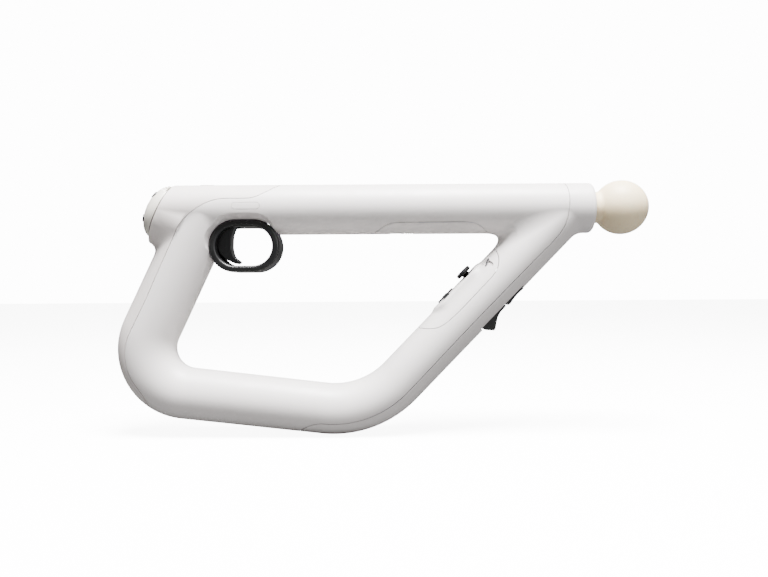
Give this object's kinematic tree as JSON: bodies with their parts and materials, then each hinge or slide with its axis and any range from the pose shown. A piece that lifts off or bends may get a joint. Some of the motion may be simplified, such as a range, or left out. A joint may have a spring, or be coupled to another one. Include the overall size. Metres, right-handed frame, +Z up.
{
  "type": "vr motion controller",
  "caption": "Two-handed VR motion controller: a closed tubular frame with a tracking orb on its muzzle, a guarded trigger, thumb sticks and keys on both grips.",
  "frame": {"origin": "centre of the bounding box", "axes": "+X along the barrel towards the orb, +Z up as held, +Y to the left of a person holding it; the XZ plane is the moulding split"},
  "size_m": [0.4446, 0.0452, 0.2113],
  "materials": {
    "shell_white": "satin moulded",
    "shell_warm": "satin moulded, slightly warmer",
    "cap_white": "satin",
    "gasket_dark": "matt",
    "guard_black": "satin black",
    "trigger_black": "semi gloss black",
    "stick_grey": "matt rubberised",
    "key_black": "satin dark grey",
    "gimbal_grey": "plain moulded",
    "pin_steel": "plain",
    "weight_metal": "plain",
    "orb_white": "translucent soft white, unlit",
    "guide_clear": "clear",
    "board_green": "solder mask",
    "battery_blue": "heat-shrink sleeve",
    "rubber_mat": "silicone"
  },
  "bodies": {
    "frame": {"battery_pack": "battery_blue", "control_pad_cover": "shell_white", "direction_key_mat": "rubber_mat", "front_bumper_pin": "pin_steel", "front_grip_board": "board_green", "front_rumble_motor": "pin_steel", "front_spine_cover": "shell_white", "front_stick_socket": "stick_grey", "front_trigger_pin": "pin_steel", "lanyard_bar": "pin_steel", "left_body_shell": "shell_white", "main_circuit_board": "board_green", "orb_diffuser": "orb_white", "orb_led_board": "board_green", "orb_light_guide": "guide_clear", "orb_ring": "gasket_dark", "rear_button_mat": "rubber_mat", "rear_cap_gasket": "gasket_dark", "rear_control_board": "board_green", "rear_end_cap": "cap_white", "rear_rumble_motor": "pin_steel", "rear_spine_cover": "shell_warm", "rear_stick_socket": "stick_grey", "rear_trigger_bracket": "gimbal_grey", "rear_trigger_pin": "pin_steel", "right_body_shell": "shell_white", "shell_screws": "pin_steel", "trigger_guard": "guard_black", "trigger_springs": "pin_steel", "underside_port_cover": "shell_white", "usb_port": "pin_steel"},
    "rear_trigger": {"rear_trigger": "trigger_black"},
    "front_trigger": {"front_trigger": "trigger_black"},
    "front_bumper": {"front_bumper": "trigger_black"},
    "side_button_right": {"side_button_right": "shell_white"},
    "side_button_left": {"side_button_left": "shell_white"},
    "home_button": {"home_button": "shell_warm"},
    "rear_top_key": {"rear_top_key": "cap_white"},
    "front_stick_yoke": {"front_stick_yoke": "gimbal_grey"},
    "front_stick_block": {"front_stick_block": "gimbal_grey"},
    "front_stick_cap": {"front_stick_cap": "stick_grey"},
    "rear_stick_yoke": {"rear_stick_yoke": "gimbal_grey"},
    "rear_stick_block": {"rear_stick_block": "gimbal_grey"},
    "rear_stick_cap": {"rear_stick_cap": "stick_grey"},
    "front_rumble_weight": {"front_rumble_weight": "weight_metal"},
    "rear_rumble_weight": {"rear_rumble_weight": "weight_metal"},
    "direction_key_down": {"direction_key_down": "key_black"},
    "direction_key_left": {"direction_key_left": "key_black"},
    "direction_key_right": {"direction_key_right": "key_black"},
    "direction_key_up": {"direction_key_up": "key_black"},
    "rear_button_lower_left": {"rear_button_lower_left": "key_black"},
    "rear_button_lower_right": {"rear_button_lower_right": "key_black"},
    "rear_button_upper_left": {"rear_button_upper_left": "key_black"},
    "rear_button_upper_right": {"rear_button_upper_right": "key_black"}
  },
  "joints": [
    {"name": "rear_trigger_pull", "type": "hinge", "parent": "frame", "child": "rear_trigger", "pos_m": [-0.1285, 0, 0.0776], "axis": [0, 1, 0], "range_deg": [0, 8], "stiffness_Nm_per_rad": 0.25, "springref_deg": -6.88},
    {"name": "front_trigger_pull", "type": "hinge", "parent": "frame", "child": "front_trigger", "pos_m": [0.09651, 0, 0.00154], "axis": [0, 1, 0], "range_deg": [0, 9], "stiffness_Nm_per_rad": 0.2, "springref_deg": -6.88},
    {"name": "front_bumper_press", "type": "hinge", "parent": "frame", "child": "front_bumper", "pos_m": [0.11177, 0, 0.01823], "axis": [0, 1, 0], "range_deg": [0, 3.5], "stiffness_Nm_per_rad": 0.2, "springref_deg": -4.58},
    {"name": "direction_key_up_press", "type": "slide", "parent": "frame", "child": "direction_key_up", "axis": [0.7168, 0, -0.6973], "range_m": [0, 0.0009], "stiffness_N_per_m": 400, "springref_m": -0.0004},
    {"name": "direction_key_left_press", "type": "slide", "parent": "frame", "child": "direction_key_left", "axis": [0.7168, 0, -0.6973], "range_m": [0, 0.0009], "stiffness_N_per_m": 400, "springref_m": -0.0004},
    {"name": "direction_key_down_press", "type": "slide", "parent": "frame", "child": "direction_key_down", "axis": [0.7168, 0, -0.6973], "range_m": [0, 0.0009], "stiffness_N_per_m": 400, "springref_m": -0.0004},
    {"name": "direction_key_right_press", "type": "slide", "parent": "frame", "child": "direction_key_right", "axis": [0.7168, 0, -0.6973], "range_m": [0, 0.0009], "stiffness_N_per_m": 400, "springref_m": -0.0004},
    {"name": "rear_button_lower_left_press", "type": "slide", "parent": "frame", "child": "rear_button_lower_left", "axis": [0.9033, 0, -0.4291], "range_m": [0, 0.0012], "stiffness_N_per_m": 400, "springref_m": -0.0004},
    {"name": "rear_button_lower_right_press", "type": "slide", "parent": "frame", "child": "rear_button_lower_right", "axis": [0.9033, 0, -0.4291], "range_m": [0, 0.0012], "stiffness_N_per_m": 400, "springref_m": -0.0004},
    {"name": "rear_button_upper_left_press", "type": "slide", "parent": "frame", "child": "rear_button_upper_left", "axis": [0.9033, 0, -0.4291], "range_m": [0, 0.0012], "stiffness_N_per_m": 400, "springref_m": -0.0004},
    {"name": "rear_button_upper_right_press", "type": "slide", "parent": "frame", "child": "rear_button_upper_right", "axis": [0.9033, 0, -0.4291], "range_m": [0, 0.0012], "stiffness_N_per_m": 400, "springref_m": -0.0004},
    {"name": "rear_top_key_press", "type": "slide", "parent": "frame", "child": "rear_top_key", "axis": [0.9033, 0, -0.4291], "range_m": [0, 0.0007], "stiffness_N_per_m": 400, "springref_m": -0.0004},
    {"name": "home_button_press", "type": "slide", "parent": "frame", "child": "home_button", "axis": [0, 0, -1], "range_m": [0, 0.0008], "stiffness_N_per_m": 400, "springref_m": -0.0004},
    {"name": "side_button_right_press", "type": "slide", "parent": "frame", "child": "side_button_right", "axis": [0, 1, 0], "range_m": [0, 0.0007], "stiffness_N_per_m": 400, "springref_m": -0.0004},
    {"name": "side_button_left_press", "type": "slide", "parent": "frame", "child": "side_button_left", "axis": [0, -1, 0], "range_m": [0, 0.0007], "stiffness_N_per_m": 400, "springref_m": -0.0004},
    {"name": "front_stick_side_tilt", "type": "hinge", "parent": "frame", "child": "front_stick_yoke", "pos_m": [0.07752, 0, 0.01931], "axis": [0.6973, 0, 0.7168], "range_deg": [-8.5, 8.5], "stiffness_Nm_per_rad": 0.06},
    {"name": "front_stick_fore_tilt", "type": "hinge", "parent": "front_stick_yoke", "child": "front_stick_block", "pos_m": [0.07752, 0, 0.01931], "axis": [0, 1, 0], "range_deg": [-8.5, 8.5], "stiffness_Nm_per_rad": 0.06},
    {"name": "front_stick_click", "type": "slide", "parent": "front_stick_block", "child": "front_stick_cap", "axis": [0.7168, 0, -0.6973], "range_m": [0, 0.0005], "stiffness_N_per_m": 1500, "springref_m": -0.0003},
    {"name": "rear_stick_side_tilt", "type": "hinge", "parent": "frame", "child": "rear_stick_yoke", "pos_m": [-0.18354, 0, 0.08041], "axis": [-0.4291, 0, -0.9033], "range_deg": [-8, 8], "stiffness_Nm_per_rad": 0.06},
    {"name": "rear_stick_fore_tilt", "type": "hinge", "parent": "rear_stick_yoke", "child": "rear_stick_block", "pos_m": [-0.18354, 0, 0.08041], "axis": [0, 1, 0], "range_deg": [-8, 8], "stiffness_Nm_per_rad": 0.06},
    {"name": "rear_stick_click", "type": "slide", "parent": "rear_stick_block", "child": "rear_stick_cap", "axis": [0.9033, 0, -0.4291], "range_m": [0, 0.0005], "stiffness_N_per_m": 1500, "springref_m": -0.0003},
    {"name": "front_rumble_spin", "type": "hinge", "parent": "frame", "child": "front_rumble_weight", "pos_m": [-0.022, 0, -0.0845], "axis": [0, 1, 0], "continuous": true},
    {"name": "rear_rumble_spin", "type": "hinge", "parent": "frame", "child": "rear_rumble_weight", "pos_m": [-0.1965, 0, -0.02], "axis": [0, 1, 0], "continuous": true}
  ]
}
